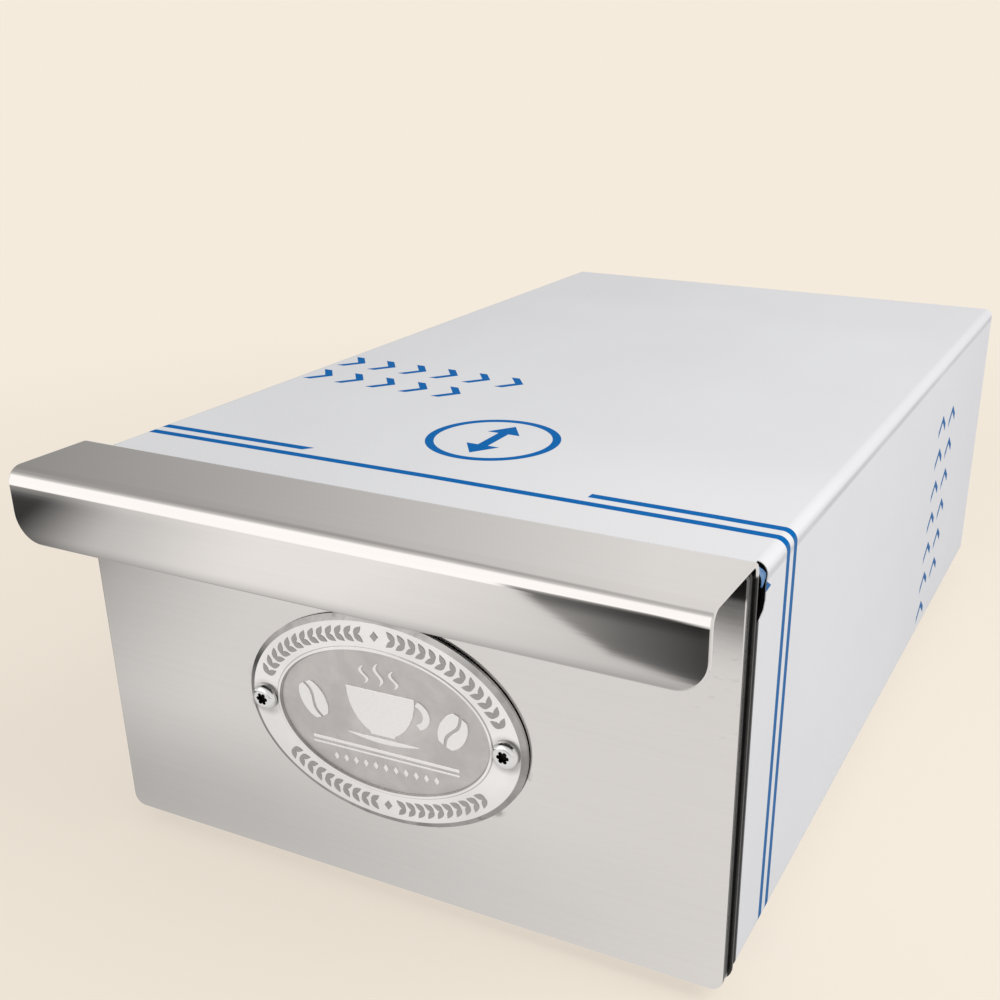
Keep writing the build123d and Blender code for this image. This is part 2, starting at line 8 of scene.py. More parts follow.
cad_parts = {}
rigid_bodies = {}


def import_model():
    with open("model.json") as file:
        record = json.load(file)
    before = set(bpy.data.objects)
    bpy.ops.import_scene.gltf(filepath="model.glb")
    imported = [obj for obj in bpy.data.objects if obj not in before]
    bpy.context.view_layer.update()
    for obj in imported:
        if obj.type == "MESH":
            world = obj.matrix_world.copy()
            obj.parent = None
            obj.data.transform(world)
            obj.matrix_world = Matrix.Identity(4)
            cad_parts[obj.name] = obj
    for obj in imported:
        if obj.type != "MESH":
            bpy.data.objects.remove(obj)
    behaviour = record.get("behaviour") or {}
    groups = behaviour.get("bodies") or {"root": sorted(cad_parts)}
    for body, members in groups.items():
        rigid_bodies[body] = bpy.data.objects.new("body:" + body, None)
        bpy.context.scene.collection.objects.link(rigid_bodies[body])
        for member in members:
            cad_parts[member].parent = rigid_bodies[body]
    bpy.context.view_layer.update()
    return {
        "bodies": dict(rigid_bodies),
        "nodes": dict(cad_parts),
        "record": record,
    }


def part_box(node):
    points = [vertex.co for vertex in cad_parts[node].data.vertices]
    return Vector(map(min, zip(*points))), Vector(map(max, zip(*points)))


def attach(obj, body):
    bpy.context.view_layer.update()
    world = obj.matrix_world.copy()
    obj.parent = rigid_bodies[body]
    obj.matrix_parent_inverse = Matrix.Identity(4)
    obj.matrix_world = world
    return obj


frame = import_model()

MM = 0.001

# Studio: colours, strengths, and places and sizes in metres
BACKGROUND = (0.914, 0.831, 0.723)
STUDIO = (0.965, 0.94, 0.92)
SKY_LEVEL = 0.62
LAMP_LEVEL = 0.38
LAMP_PLACE = (0.65, -0.10, 0.75)
LAMP_AIM = (0.0, 0.0, 0.12)
LAMP_SIZE = 0.7
FLOOR_HALF = 40.0

# Camera, in metres, and its lens, in millimetres
CAMERA_PLACE = (0.1777, -0.4010, 0.2363)
CAMERA_RIGHT = (0.9022, 0.4312, 0.0066)
CAMERA_FORWARD = (-0.3931, 0.8286, -0.3985)
CAMERA_CLIP = (0.01, 200.0)
SENSOR_WIDTH = 36.0
LENS = 45.52
SHIFT = (-0.084, 0.07285)

# Badge, in millimetres: middle, turn, depth of its ring and of its field, screws, half axes
BADGE_X = -0.7
BADGE_Z = 60.6
BADGE_TURN = math.radians(1.3)
BADGE_FACE = -153.4
BADGE_FIELD = -152.85
BADGE_SCREW_HALF = 39.0
OUTER_OVAL = (44.9, 31.65)
FACE_OVAL = (43.25, 30.0)
RIDGE_OVAL = (34.95, 22.4)
FIELD_OVAL = (34.1, 21.55)
WREATH_OVAL = (39.15, 26.25)

# Reliefs on the badge, in millimetres
RELIEF_SINK = 0.05
WREATH_HEIGHT = 0.2
WREATH_BEVEL = 0.06
LEAF_LENGTH = 3.5
LEAF_WIDTH = 1.75
LEAF_PITCH = 3.15
LEAF_LEAN = 0.72
EMBLEM_LIFT = 2.2
EMBLEM_SCALE = 1.15

# Print on the protective film, in millimetres
CASE_TOP = 122.2
CASE_HALF = 100.8
OUTER_LINE = -123.05
INNER_LINE = -117.2
LINE_HALF = 1.4
ROUNDEL_PLACE = (-2.0, -86.0)
ROUNDEL_RADIUS = 19.0
CHEVRON_SIZE = 13.0
TOP_STROKE = 3.2
SIDE_STROKE = 2.9

# Film offcut and weld beads, in millimetres
SCRAP_THICKNESS = 0.12
TUB_SHEET = 1.0
BEAD_RADIUS = 0.9
BEAD_STEP = 0.36
BEAD_SIDES = 10
BEAD_RIPPLE = 1.1
BEAD_INSET = 0.1

# Steel: colours, and the directions of its streaks
LIGHT_STEEL = (0.755, 0.74, 0.725)
DARK_STEEL = (0.725, 0.71, 0.695)
# Dark colour of cut edges, also used as painted shade on the panel under the grip's flange
CUT_EDGE_AND_SHADE = (0.085, 0.084, 0.083)
# Unpolished inner side of the grip, darkened further as painted shade
DULL_AND_SHADED_SIDE = (0.055, 0.054, 0.052)
ALONG_X = (0.015, 1.0, 1.0)
ALONG_Y = (1.0, 0.015, 1.0)
ALONG_Z = (1.0, 1.0, 0.015)
EVERY_WAY = (1.0, 1.0, 1.0)


class Graph:
    """A node tree with short calls for its nodes, whose inputs are sockets or plain numbers."""

    def __init__(self, owner):
        owner.use_nodes = True
        self.tree = owner.node_tree
        self.tree.nodes.clear()

    def put(self, socket, value):
        """Link a socket to an input, or set the input to a number."""
        if isinstance(value, bpy.types.NodeSocket):
            self.tree.links.new(value, socket)
        elif value is not None:
            socket.default_value = value

    def node(self, kind, inputs=None, **settings):
        made = self.tree.nodes.new(kind)
        for name, value in settings.items():
            setattr(made, name, value)
        for name, value in (inputs or {}).items():
            self.put(made.inputs[name], value)
        return made

    def math(self, operation, *values):
        made = self.node("ShaderNodeMath", operation=operation)
        for index, value in enumerate(values):
            self.put(made.inputs[index], value)
        return made.outputs[0]

    def add(self, a, *others):
        for b in others:
            a = self.math("ADD", a, b)
        return a

    def sub(self, a, b):
        return self.math("SUBTRACT", a, b)

    def mul(self, a, *others):
        for b in others:
            a = self.math("MULTIPLY", a, b)
        return a

    def div(self, a, b):
        return self.math("DIVIDE", a, b)

    def abs(self, a):
        return self.math("ABSOLUTE", a)

    def hypot(self, a, b):
        return self.math("SQRT", self.add(self.mul(a, a), self.mul(b, b)))

    def least(self, a, *others):
        for b in others:
            a = self.math("MINIMUM", a, b)
        return a

    def most(self, a, *others):
        for b in others:
            a = self.math("MAXIMUM", a, b)
        return a

    def span(self, value, start, end, low, high, kind):
        made = self.node("ShaderNodeMapRange", interpolation_type=kind, clamp=True)
        self.put(made.inputs["Value"], value)
        for name, x in (("From Min", start), ("From Max", end), ("To Min", low), ("To Max", high)):
            self.put(made.inputs[name], x)
        return made.outputs[0]

    def step(self, value, start, end, low=0.0, high=1.0):
        """Smooth step of value: low at start, high at end."""
        return self.span(value, start, end, low, high, "SMOOTHSTEP")

    def ramp(self, value, start, end, low=0.0, high=1.0):
        """Straight ramp of value: low at start, high at end."""
        return self.span(value, start, end, low, high, "LINEAR")

    def between(self, value, low, high, soft):
        """One between low and high, nothing outside, with soft edges."""
        rise = self.step(value, low - soft, low + soft)
        return self.mul(rise, self.step(value, high + soft, high - soft))

    def mix(self, factor, a, b):
        made = self.node("ShaderNodeMix", data_type="RGBA")
        self.put(made.inputs[0], factor)
        for socket, value in ((made.inputs[6], a), (made.inputs[7], b)):
            self.put(socket, value if isinstance(value, bpy.types.NodeSocket) else (*value, 1.0))
        return made.outputs[2]

    def blend(self, factor, a, b):
        """Number a where factor is nothing, b where it is one."""
        made = self.node("ShaderNodeMix", data_type="FLOAT")
        for socket, value in ((made.inputs[0], factor), (made.inputs[2], a), (made.inputs[3], b)):
            self.put(socket, value)
        return made.outputs[0]

    def scaled(self, vector, scale):
        """A vector times a vector of three numbers."""
        made = self.node("ShaderNodeVectorMath", operation="MULTIPLY")
        self.put(made.inputs[0], vector)
        made.inputs[1].default_value = scale
        return made.outputs[0]

    def split(self, vector):
        made = self.node("ShaderNodeSeparateXYZ")
        self.put(made.inputs[0], vector)
        return made.outputs

    def noise(self, vector, scale, detail=2.0, roughness=0.5, distortion=0.0):
        made = self.node("ShaderNodeTexNoise", {"Vector": vector, "Scale": scale, "Detail": detail,
                                                "Roughness": roughness, "Distortion": distortion})
        return made.outputs[0]

    def specks(self, vector, scale, size):
        """Small round spots: one on a speck, nothing elsewhere."""
        made = self.node("ShaderNodeTexVoronoi", {"Vector": vector, "Scale": scale})
        return self.step(made.outputs["Distance"], size, 0.6 * size)

    def bump(self, height, strength, distance, normal=None):
        inputs = {"Height": height, "Strength": strength, "Distance": distance}
        made = self.node("ShaderNodeBump", inputs)
        if normal is not None:
            self.put(made.inputs["Normal"], normal)
        return made.outputs[0]

    def places(self, of=None):
        """X, Y and Z on the object, or on another one, in millimetres, and the vector in metres."""
        vector = self.node("ShaderNodeTexCoord", object=of).outputs["Object"]
        x, y, z = self.split(self.scaled(vector, (1.0 / MM, 1.0 / MM, 1.0 / MM)))
        return x, y, z, vector

    def on_badge(self, x, z):
        """Distances from the badge's middle along its long and its short axis."""
        dx, dz = self.sub(x, BADGE_X), self.sub(z, BADGE_Z)
        c, s = math.cos(BADGE_TURN), math.sin(BADGE_TURN)
        across = self.add(self.mul(dx, c), self.mul(dz, s))
        return across, self.sub(self.mul(dz, c), self.mul(dx, s))

    def oval(self, across, above, half_axes):
        """One on an oval round the badge's middle, less inside and more outside."""
        return self.hypot(self.div(across, half_axes[0]), self.div(above, half_axes[1]))

    def facing(self):
        """X, Y and Z of the surface's own direction."""
        return self.split(self.node("ShaderNodeTexCoord").outputs["Normal"])


def material(name):
    """A new material and its node graph."""
    made = bpy.data.materials.new(name)
    return made, Graph(made)


def principled(graph, **inputs):
    """Finish a material with a principled shader, whose inputs are given by name."""
    named = {key.replace("_", " "): value for key, value in inputs.items()}
    shader = graph.node("ShaderNodeBsdfPrincipled", named)
    out = graph.node("ShaderNodeOutputMaterial")
    graph.tree.links.new(shader.outputs[0], out.inputs["Surface"])


def steel(name, rough, along, grain, scale=900.0, light=LIGHT_STEEL, dark=DARK_STEEL, wear_and_shade=None):
    """Stainless sheet: faint streaks along one direction, cloudy polish, and a function's wear and
    painted shade.
    """
    made, g = material(name)
    x, y, z, vector = g.places()
    streaks = g.noise(g.scaled(vector, along), scale, 3.0, 0.6)
    cloud = g.noise(vector, 18.0, 3.0, 0.5, 0.3)
    tone = g.ramp(g.add(g.mul(streaks, 0.45), g.mul(cloud, 0.55)), 0.32, 0.68)
    colour = g.mix(tone, dark, light)
    finish = g.add(g.mul(streaks, 0.35), g.mul(cloud, 0.65))
    roughness = g.ramp(finish, 0.32, 0.68, 0.9 * rough, 1.1 * rough)
    normal = g.bump(streaks, grain, 0.00002)
    if wear_and_shade:
        colour, roughness, normal = wear_and_shade(g, (x, y, z, vector), colour, roughness, normal)
    principled(g, Base_Color=colour, Metallic=1.0, Roughness=roughness, Normal=normal)
    return made


# The places in the functions below are in millimetres in the shared frame.
def handle_wear_and_shade(g, places, colour, roughness, normal):
    """Unpolished inner side of the grip darkened further as painted shade, painted shade along the
    lip's lower edge, dull edge of the upright plate, with grime and painted shade next to the
    gasket.
    """
    x, y, z, vector = places
    nx, ny, nz = g.facing()
    # Inner side of the grip: unpolished, and darkened further as painted shade
    inner = g.mul(g.step(g.sub(ny, nz), 0.5, 0.9), g.step(y, -148.0, -151.0))
    edge = g.most(g.step(g.abs(nx), 0.3, 0.7), g.step(g.abs(x), 99.4, 99.8))
    edge = g.mul(edge, g.step(y, -152.0, -150.0), g.step(z, 121.9, 120.9))
    dull_and_shaded = g.most(inner, edge)
    # Painted shade: the lip darker towards its lower edge
    lip_edge_shade = g.mul(g.step(y, -174.0, -176.0), g.math("POWER", g.ramp(z, 108.6, 104.9), 1.8))
    colour = g.mix(g.mul(lip_edge_shade, 0.55), colour, (0.20, 0.195, 0.19))
    mill = g.noise(vector, 420.0, 3.0, 0.6)
    colour = g.mix(dull_and_shaded, colour, g.mix(g.ramp(mill, 0.3, 0.7), DULL_AND_SHADED_SIDE, CUT_EDGE_AND_SHADE))
    # Grime and painted shade: the plate's edge near black next to the gasket
    grime_and_shade = g.mul(edge, g.step(y, -146.1, -146.6))
    colour = g.mix(g.mul(grime_and_shade, 0.6), colour, (0.015, 0.015, 0.015))
    return colour, g.blend(dull_and_shaded, roughness, 0.42), normal


def panel_wear_and_shade(g, places, colour, roughness, normal):
    """Dull edges, grime round the badge, scuffs by the right edge, painted shade under the flange.
    """
    x, _, z, vector = places
    _, ny, _ = g.facing()
    edge = g.step(g.abs(ny), 0.62, 0.25)
    saw = g.noise(g.scaled(vector, (1.0, 9.0, 1.0)), 300.0, 2.0)
    colour = g.mix(edge, colour, g.mix(g.ramp(saw, 0.35, 0.65), CUT_EDGE_AND_SHADE, (0.13, 0.128, 0.126)))
    across, above = g.on_badge(x, z)
    ring = g.between(g.oval(across, above, OUTER_OVAL), 0.99, 1.035, 0.02)
    patch = g.step(g.noise(vector, 90.0, 3.0, 0.6), 0.56, 0.70)
    grime = g.mul(ring, patch, g.step(z, 75.0, 50.0))
    colour = g.mix(g.mul(grime, 0.55), colour, (0.16, 0.15, 0.14))
    handled = g.mul(g.step(x, 80.0, 92.0), g.between(z, 80.0, 112.0, 8.0))
    scratch = g.noise(g.scaled(vector, (0.25, 1.0, 1.0)), 700.0, 3.0, 0.6)
    scuff = g.mul(handled, g.step(scratch, 0.60, 0.66))
    colour = g.mix(g.mul(scuff, 0.18), colour, (0.45, 0.44, 0.43))
    # Painted shade: the panel's top strip under the grip's flange darkened
    shade_under_flange = g.step(z, 116.2, 118.0)
    colour = g.mix(g.mul(shade_under_flange, 0.85), colour, CUT_EDGE_AND_SHADE)
    return colour, g.blend(edge, roughness, 0.4), normal


def plate_wear(g, places, colour, roughness, normal):
    """Dull cut edges all round a flat plate."""
    _, ny, _ = g.facing()
    edge = g.step(g.abs(ny), 0.8, 0.4)
    saw = g.noise(places[3], 500.0, 2.0)
    colour = g.mix(edge, colour, g.mix(g.ramp(saw, 0.35, 0.65), (0.055, 0.054, 0.053), CUT_EDGE_AND_SHADE))
    return colour, g.blend(edge, roughness, 0.45), normal


def casing_wear_and_shade(g, places, colour, roughness, normal):
    """Painted shade in the two corner notches, and dull cut ends."""
    x, y, z, _ = places
    # Painted shade: the steel in the corner notches near black
    notch = g.mul(g.step(z, 107.0, 108.0), g.step(g.abs(x), 96.0, 97.0), g.step(y, -138.4, -139.2))
    colour = g.mix(notch, colour, (0.012, 0.012, 0.014))
    end = g.step(y, -144.2, -144.6)
    colour = g.mix(end, colour, CUT_EDGE_AND_SHADE)
    return colour, g.blend(g.most(notch, end), roughness, 0.6), normal


def badge_wear_and_shade(g, places, colour, roughness, normal):
    """Stippled field, bright satin ring, painted shade lines by the ridge, burnished bevel, darker
    patches round the screws.
    """
    x, _, z, vector = places
    across, above = g.on_badge(x, z)
    inner = g.oval(across, above, FIELD_OVAL)
    field = g.step(inner, 1.004, 0.996)
    rim = g.step(g.oval(across, above, FACE_OVAL), 0.997, 1.003)
    ridge = g.oval(across, above, RIDGE_OVAL)
    # Painted shade: dark lines along the edges of the ridge
    lines = g.most(g.between(inner, 0.984, 0.997, 0.003), g.between(ridge, 0.996, 1.006, 0.003))
    stipple = g.noise(vector, 2600.0, 3.0, 0.65)
    mottle = g.noise(vector, 75.0, 4.0, 0.6)
    haze = g.ramp(g.noise(vector, 95.0, 4.0, 0.62, 0.8), 0.36, 0.62)
    matte = g.mix(g.ramp(mottle, 0.3, 0.7), (0.565, 0.547, 0.535), (0.645, 0.627, 0.615))
    matte = g.mix(g.mul(haze, 0.5), matte, (0.47, 0.455, 0.445))
    polish = g.ramp(g.noise(vector, 60.0, 3.0, 0.5), 0.35, 0.65)
    satin = g.mix(polish, (0.84, 0.832, 0.825), (0.93, 0.925, 0.92))
    burnish = g.ramp(g.noise(vector, 120.0, 3.0, 0.6), 0.35, 0.65)
    bevel = g.mix(burnish, (0.31, 0.304, 0.298), (0.45, 0.443, 0.436))
    colour = g.mix(field, g.mix(rim, satin, bevel), matte)
    colour = g.mix(g.mul(lines, 0.6), colour, (0.27, 0.262, 0.255))
    sheen = g.ramp(mottle, 0.3, 0.7, 0.46, 0.38)
    roughness = g.blend(field, g.blend(rim, 0.2, 0.24), sheen)
    for side in (-1.0, 1.0):
        # Darker patch round each screw head, centred a little below it
        reach = g.hypot(g.sub(across, side * BADGE_SCREW_HALF), g.add(above, 0.6))
        dark_patch = g.mul(g.step(reach, 6.4, 3.9), g.ramp(mottle, 0.35, 0.65, 0.15, 0.75))
        colour = g.mix(dark_patch, colour, (0.22, 0.212, 0.205))
    grime = g.mul(rim, g.step(g.noise(vector, 150.0, 3.0, 0.6), 0.60, 0.68))
    colour = g.mix(g.mul(grime, 0.5), colour, (0.2, 0.19, 0.18))
    return colour, roughness, g.bump(stipple, g.mul(field, 0.5), 0.00004)


def screw_wear_and_shade(g, places, colour, roughness, normal):
    """Painted shade in the six-lobed recess and a little dirt round the foot of each badge screw
    head.
    """
    x, y, z, _ = places
    across, above = g.on_badge(x, z)
    reach = g.hypot(g.sub(g.abs(across), BADGE_SCREW_HALF), above)
    front = g.step(y, BADGE_FACE + 1.2, BADGE_FACE + 0.2)
    deep = g.step(y, BADGE_FACE - 2.22, BADGE_FACE - 2.12)
    # Painted shade: the six-lobed recess near black
    recess = g.mul(front, g.step(reach, 2.05, 1.85), deep)
    foot = g.mul(front, g.step(reach, 3.75, 3.95), g.step(y, BADGE_FACE - 1.0, BADGE_FACE - 0.3))
    colour = g.mix(g.mul(foot, 0.7), colour, (0.12, 0.115, 0.11))
    colour = g.mix(recess, colour, (0.02, 0.018, 0.016))
    return colour, g.blend(recess, roughness, 0.6), normal


def rear_wear(g, places, colour, roughness, normal):
    """Rows of spot welds near the rear panel's edges, each a faint dished ring."""
    x, _, z, _ = places
    rows = g.least(g.abs(g.sub(z, 16.0)), g.abs(g.sub(z, 114.0)))
    along = g.sub(g.math("FLOORED_MODULO", g.add(x, 200.0), 36.0), 18.0)
    reach = g.hypot(along, rows)
    dish = g.step(reach, 2.4, 1.2)
    ring = g.between(reach, 1.9, 2.7, 0.3)
    colour = g.mix(g.mul(ring, 0.35), colour, (0.42, 0.38, 0.33))
    return colour, roughness, g.bump(dish, -0.6, 0.00015, normal)


def two_tone(g, distance, paper, ink):
    """Ink inside a signed distance, paper outside."""
    return g.mix(g.step(distance, 0.07, -0.07), paper, ink)


def chevron_row(g, along, across, start, count, stroke):
    """Signed distance to a row of chevrons that point along the row."""
    place = g.math("FLOORED_MODULO", g.sub(along, start), CHEVRON_SIZE)
    cell = g.sub(place, 0.5 * CHEVRON_SIZE)
    wide = g.abs(across)
    body = g.sub(g.abs(g.add(cell, -1.6, g.mul(wide, 0.75))), 0.5 * stroke)
    length = 0.5 * count * CHEVRON_SIZE
    ends = g.sub(g.abs(g.sub(along, start + length)), length - 0.2)
    return g.most(body, g.sub(wide, 0.5 * CHEVRON_SIZE), ends)


def roundel(g, dx, dy):
    """Signed distance to a ring round an arrow with a head at each end."""
    ring = g.sub(g.abs(g.sub(g.hypot(dx, dy), ROUNDEL_RADIUS)), 1.3)
    wide = g.abs(dx)
    tall = g.abs(dy)
    shaft = g.most(g.sub(wide, 1.7), g.sub(tall, 7.5))
    head = g.most(g.sub(g.add(wide, g.mul(tall, 0.7)), 9.9), g.sub(6.2, tall))
    return g.least(ring, shaft, head)


def film_marks(g, x, y, z):
    """Signed distance to the print: two lines round the front end, roundel, chevrons, wedge."""
    drift = g.add(g.ramp(x, -100.0, 0.0, -1.7, -0.2), g.ramp(x, 80.0, 100.0, 0.0, -0.3))
    drift = g.add(drift, g.ramp(z, 118.0, 8.0, 0.0, -1.6), g.ramp(z, CASE_TOP, 112.0, 0.0, 0.25))
    along = g.sub(y, drift)
    outer = g.sub(g.abs(g.sub(along, OUTER_LINE)), LINE_HALF)
    inner = g.sub(g.abs(g.sub(along, INNER_LINE)), LINE_HALF)
    slant = g.mul(g.sub(along, INNER_LINE), 0.9)
    gap = g.least(g.sub(g.add(x, 45.5), slant), g.sub(44.7, x), g.sub(z, 100.0))
    marks = g.least(outer, g.most(inner, gap))
    flat_top = g.sub(CASE_TOP, z)
    motif = g.least(roundel(g, g.sub(x, ROUNDEL_PLACE[0]), g.sub(y, ROUNDEL_PLACE[1])),
                    chevron_row(g, x, g.add(y, 47.0), -98.0, 5, TOP_STROKE),
                    chevron_row(g, x, g.add(y, 27.0), -98.0, 6, TOP_STROKE))
    marks = g.least(marks, g.most(motif, flat_top))
    wall = g.sub(CASE_HALF, g.abs(x))
    column = g.least(chevron_row(g, z, g.sub(y, 81.0), 12.0, 7, SIDE_STROKE),
                     chevron_row(g, z, g.sub(y, 101.0), 24.0, 6, SIDE_STROKE))
    marks = g.least(marks, g.most(column, wall))
    under = g.sub(g.add(115.1, g.mul(g.add(y, 140.7), 0.1)), z)
    over = g.sub(z, g.sub(118.1, g.mul(g.add(y, 140.7), 0.62)))
    wedge = g.most(under, over, g.sub(y, -136.8), g.sub(-140.9, y), g.sub(100.9, x))
    return g.least(marks, wedge)


def film_material():
    """White film, blue print, painted shade along the top bend and on the sides, and painted light
    on the top near the right.
    """
    made, g = material("printed_film")
    x, y, z, vector = g.places()
    nx, _, nz = g.facing()
    upper = g.step(nz, 0.45, 0.55)
    waves = g.noise(vector, 14.0, 1.0, 0.4)
    ripple = g.noise(g.scaled(vector, (1.0, 0.35, 1.0)), 55.0, 2.0, 0.5)
    fibre = g.noise(vector, 900.0, 2.0, 0.5)
    paper = g.mix(g.ramp(g.add(g.mul(waves, 0.7), g.mul(ripple, 0.3)), 0.35, 0.65),
                  (0.734, 0.734, 0.750), (0.760, 0.762, 0.774))
    # Painted shade: a grey-lilac line just under the top bend on each side
    bend_band = g.mul(g.step(z, 120.6, 119.0), g.step(z, 117.2, 118.6))
    bend_shade = g.mul(g.step(g.abs(x), 100.0, 100.9), bend_band)
    drawn = g.ramp(g.noise(g.scaled(vector, (1.0, 0.2, 1.0)), 90.0, 2.0), 0.3, 0.7, 0.5, 1.0)
    paper = g.mix(g.mul(bend_shade, drawn, 0.75), paper, (0.47, 0.47, 0.505))
    # Painted shade: the sides greyer than the top
    paper = g.mix(g.mul(g.abs(nx), 0.12), paper, (0.69, 0.68, 0.71))
    # Painted light: the top paler towards the near right
    painted_light_near_right = g.mul(upper, g.step(x, -20.0, 60.0), g.step(y, -50.0, -110.0))
    paper = g.mix(painted_light_near_right, paper, (0.785, 0.782, 0.795))
    # Painted shade: the ink on the sides a greyer blue than on the top
    ink = g.mix(upper, (0.030, 0.138, 0.355), (0.0, 0.126, 0.415))
    ink = g.mix(g.ramp(fibre, 0.35, 0.65, 0.0, 0.04), ink, (0.0, 0.30, 0.62))
    end = g.mul(g.step(y, -144.3, -144.6), 0.7)
    colour = g.mix(end, two_tone(g, film_marks(g, x, y, z), paper, ink), (0.16, 0.16, 0.165))
    roughness = g.ramp(ripple, 0.3, 0.7, 0.44, 0.52)
    normal = g.bump(waves, 0.22, 0.0010, g.bump(ripple, 0.18, 0.00015))
    principled(g, Base_Color=colour, Roughness=roughness, Specular_IOR_Level=0.012, Normal=normal)
    return made


def soft_black(name, colour, rough, scale, dusty=0.0, gloss=0.5):
    """Rubber or foam with a fine grain, uneven darkness and, where it is dusty, some lint."""
    made, g = material(name)
    _, _, _, vector = g.places()
    grain = g.noise(vector, scale, 3.0, 0.6)
    dust = g.noise(vector, 45.0, 2.0)
    tone = g.mix(g.ramp(dust, 0.35, 0.7), colour, tuple(c * 1.6 for c in colour))
    if dusty:
        lint = g.mul(g.specks(vector, 420.0, 0.16), g.step(g.noise(vector, 60.0, 2.0), 0.55, 0.62))
        tone = g.mix(g.mul(lint, dusty), tone, (0.45, 0.45, 0.46))
    principled(g, Base_Color=tone, Roughness=g.ramp(grain, 0.3, 0.7, rough - 0.07, rough + 0.07),
               Specular_IOR_Level=gloss, Normal=g.bump(grain, 0.35, 0.0001))
    return made


def plastic(name, colour, rough):
    """Moulded plastic with a fine grain and slightly uneven colour."""
    made, g = material(name)
    _, _, _, vector = g.places()
    grain = g.noise(vector, 1400.0, 2.0, 0.5)
    cloud = g.noise(vector, 25.0, 2.0)
    tone = g.mix(g.ramp(cloud, 0.35, 0.65), colour, tuple(c * 0.94 for c in colour))
    principled(g, Base_Color=tone, Roughness=g.ramp(grain, 0.3, 0.7, rough - 0.05, rough + 0.05),
               Normal=g.bump(grain, 0.2, 0.00005))
    return made


def scrap_material():
    """Blue printed film with a slight gloss."""
    made, g = material("film_scrap")
    _, _, _, vector = g.places()
    cloud = g.noise(vector, 260.0, 2.0)
    colour = g.mix(g.ramp(cloud, 0.35, 0.65), (0.055, 0.15, 0.33), (0.14, 0.29, 0.50))
    principled(g, Base_Color=colour, Roughness=g.ramp(cloud, 0.3, 0.7, 0.28, 0.4),
               Specular_IOR_Level=0.4)
    return made


LOOKS = {
    "satin_steel": steel("satin_steel", 0.24, ALONG_Y, 0.12, wear_and_shade=casing_wear_and_shade),
    "tub_steel": steel("tub_steel", 0.30, ALONG_Y, 0.0, 420.0,
                       (0.77, 0.755, 0.74), (0.69, 0.675, 0.66)),
    "handle_steel": steel("handle_steel", 0.05, ALONG_X, 0.05, wear_and_shade=handle_wear_and_shade),
    "panel_steel": steel("panel_steel", 0.14, ALONG_X, 0.06, wear_and_shade=panel_wear_and_shade),
    "badge_steel": steel("badge_steel", 0.3, EVERY_WAY, 0.0, 2500.0, wear_and_shade=badge_wear_and_shade),
    "fastener_steel": steel("fastener_steel", 0.12, EVERY_WAY, 0.05, 900.0,
                            (0.74, 0.74, 0.74), (0.68, 0.68, 0.68)),
    "rivet_aluminium": steel("rivet_aluminium", 0.3, EVERY_WAY, 0.1, 900.0,
                             (0.80, 0.80, 0.81), (0.73, 0.73, 0.74)),
    "printed_film": film_material(),
    "white_plastic": plastic("white_plastic", (0.74, 0.74, 0.72), 0.42),
    "black_rubber": soft_black("black_rubber", (0.016, 0.016, 0.017), 0.5, 2200.0, 0.7),
    "bar_rubber": soft_black("bar_rubber", (0.022, 0.021, 0.020), 0.55, 1500.0),
    "black_foam": soft_black("black_foam", (0.004, 0.004, 0.004), 0.8, 3500.0, 0.3, 0.1),
}
OWN_LOOKS = {
    "badge_screws": steel("badge_screw_steel", 0.10, EVERY_WAY, 0.03, 900.0,
                          (0.80, 0.80, 0.80), (0.74, 0.74, 0.74), screw_wear_and_shade),
    "front_gasket": soft_black("gasket_rubber", (0.003, 0.003, 0.003), 0.6, 2200.0, 0.2, 0.06),
    "backing_plate": steel("backing_steel", 0.28, ALONG_Y, 0.12, wear_and_shade=plate_wear),
    "rear_panel": steel("rear_steel", 0.24, ALONG_Z, 0.12, wear_and_shade=rear_wear),
}
for entry in frame["record"]["subparts"]:
    node = frame["nodes"].get(entry["node"])
    if node is not None:
        node.data.materials.clear()
        node.data.materials.append(OWN_LOOKS.get(entry["node"], LOOKS[entry["material_slot"]]))


def piece(name, shape, body, look):
    """Finish a mesh given in millimetres as one named piece that rides on a body."""
    bmesh.ops.remove_doubles(shape, verts=shape.verts, dist=1e-5)
    bmesh.ops.scale(shape, vec=(MM, MM, MM), verts=shape.verts)
    bmesh.ops.recalc_face_normals(shape, faces=shape.faces)
    mesh = bpy.data.meshes.new(name)
    shape.to_mesh(mesh)
    shape.free()
    made = bpy.data.objects.new(name, mesh)
    bpy.context.collection.objects.link(made)
    mesh.materials.append(look)
    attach(made, body)


def raised(shape, outline, foot, height, bevel):
    """A flat-topped relief with a bevelled rim, from an outline in X and Z towards the front."""
    low = [shape.verts.new((x, foot, z)) for x, z in outline]
    base = shape.faces.new(low)
    grown = bmesh.ops.extrude_face_region(shape, geom=[base], use_keep_orig=True)
    tops = [v for v in grown["geom"] if isinstance(v, bmesh.types.BMVert)]
    faces = [f for f in grown["geom"] if isinstance(f, bmesh.types.BMFace)]
    bmesh.ops.translate(shape, vec=(0.0, -height, 0.0), verts=tops)
    rim = list({edge for face in faces for edge in face.edges})
    bmesh.ops.bevel(shape, geom=rim, offset=bevel, segments=2, profile=0.5, affect="EDGES",
                    clamp_overlap=True)


def placed(points, x, z, turn=0.0, scale=1.0):
    """Points turned, scaled and moved in the X and Z plane."""
    c, s = math.cos(turn), math.sin(turn)
    return [(x + scale * (c * px - s * pz), z + scale * (s * px + c * pz)) for px, pz in points]


def seat_on_badge(shape):
    """Turn and move a relief drawn round the origin to the badge's middle."""
    c, s = math.cos(BADGE_TURN), math.sin(BADGE_TURN)
    for vert in shape.verts:
        x, z = vert.co.x, vert.co.z
        vert.co.x, vert.co.z = BADGE_X + c * x - s * z, BADGE_Z + s * x + c * z
    return shape


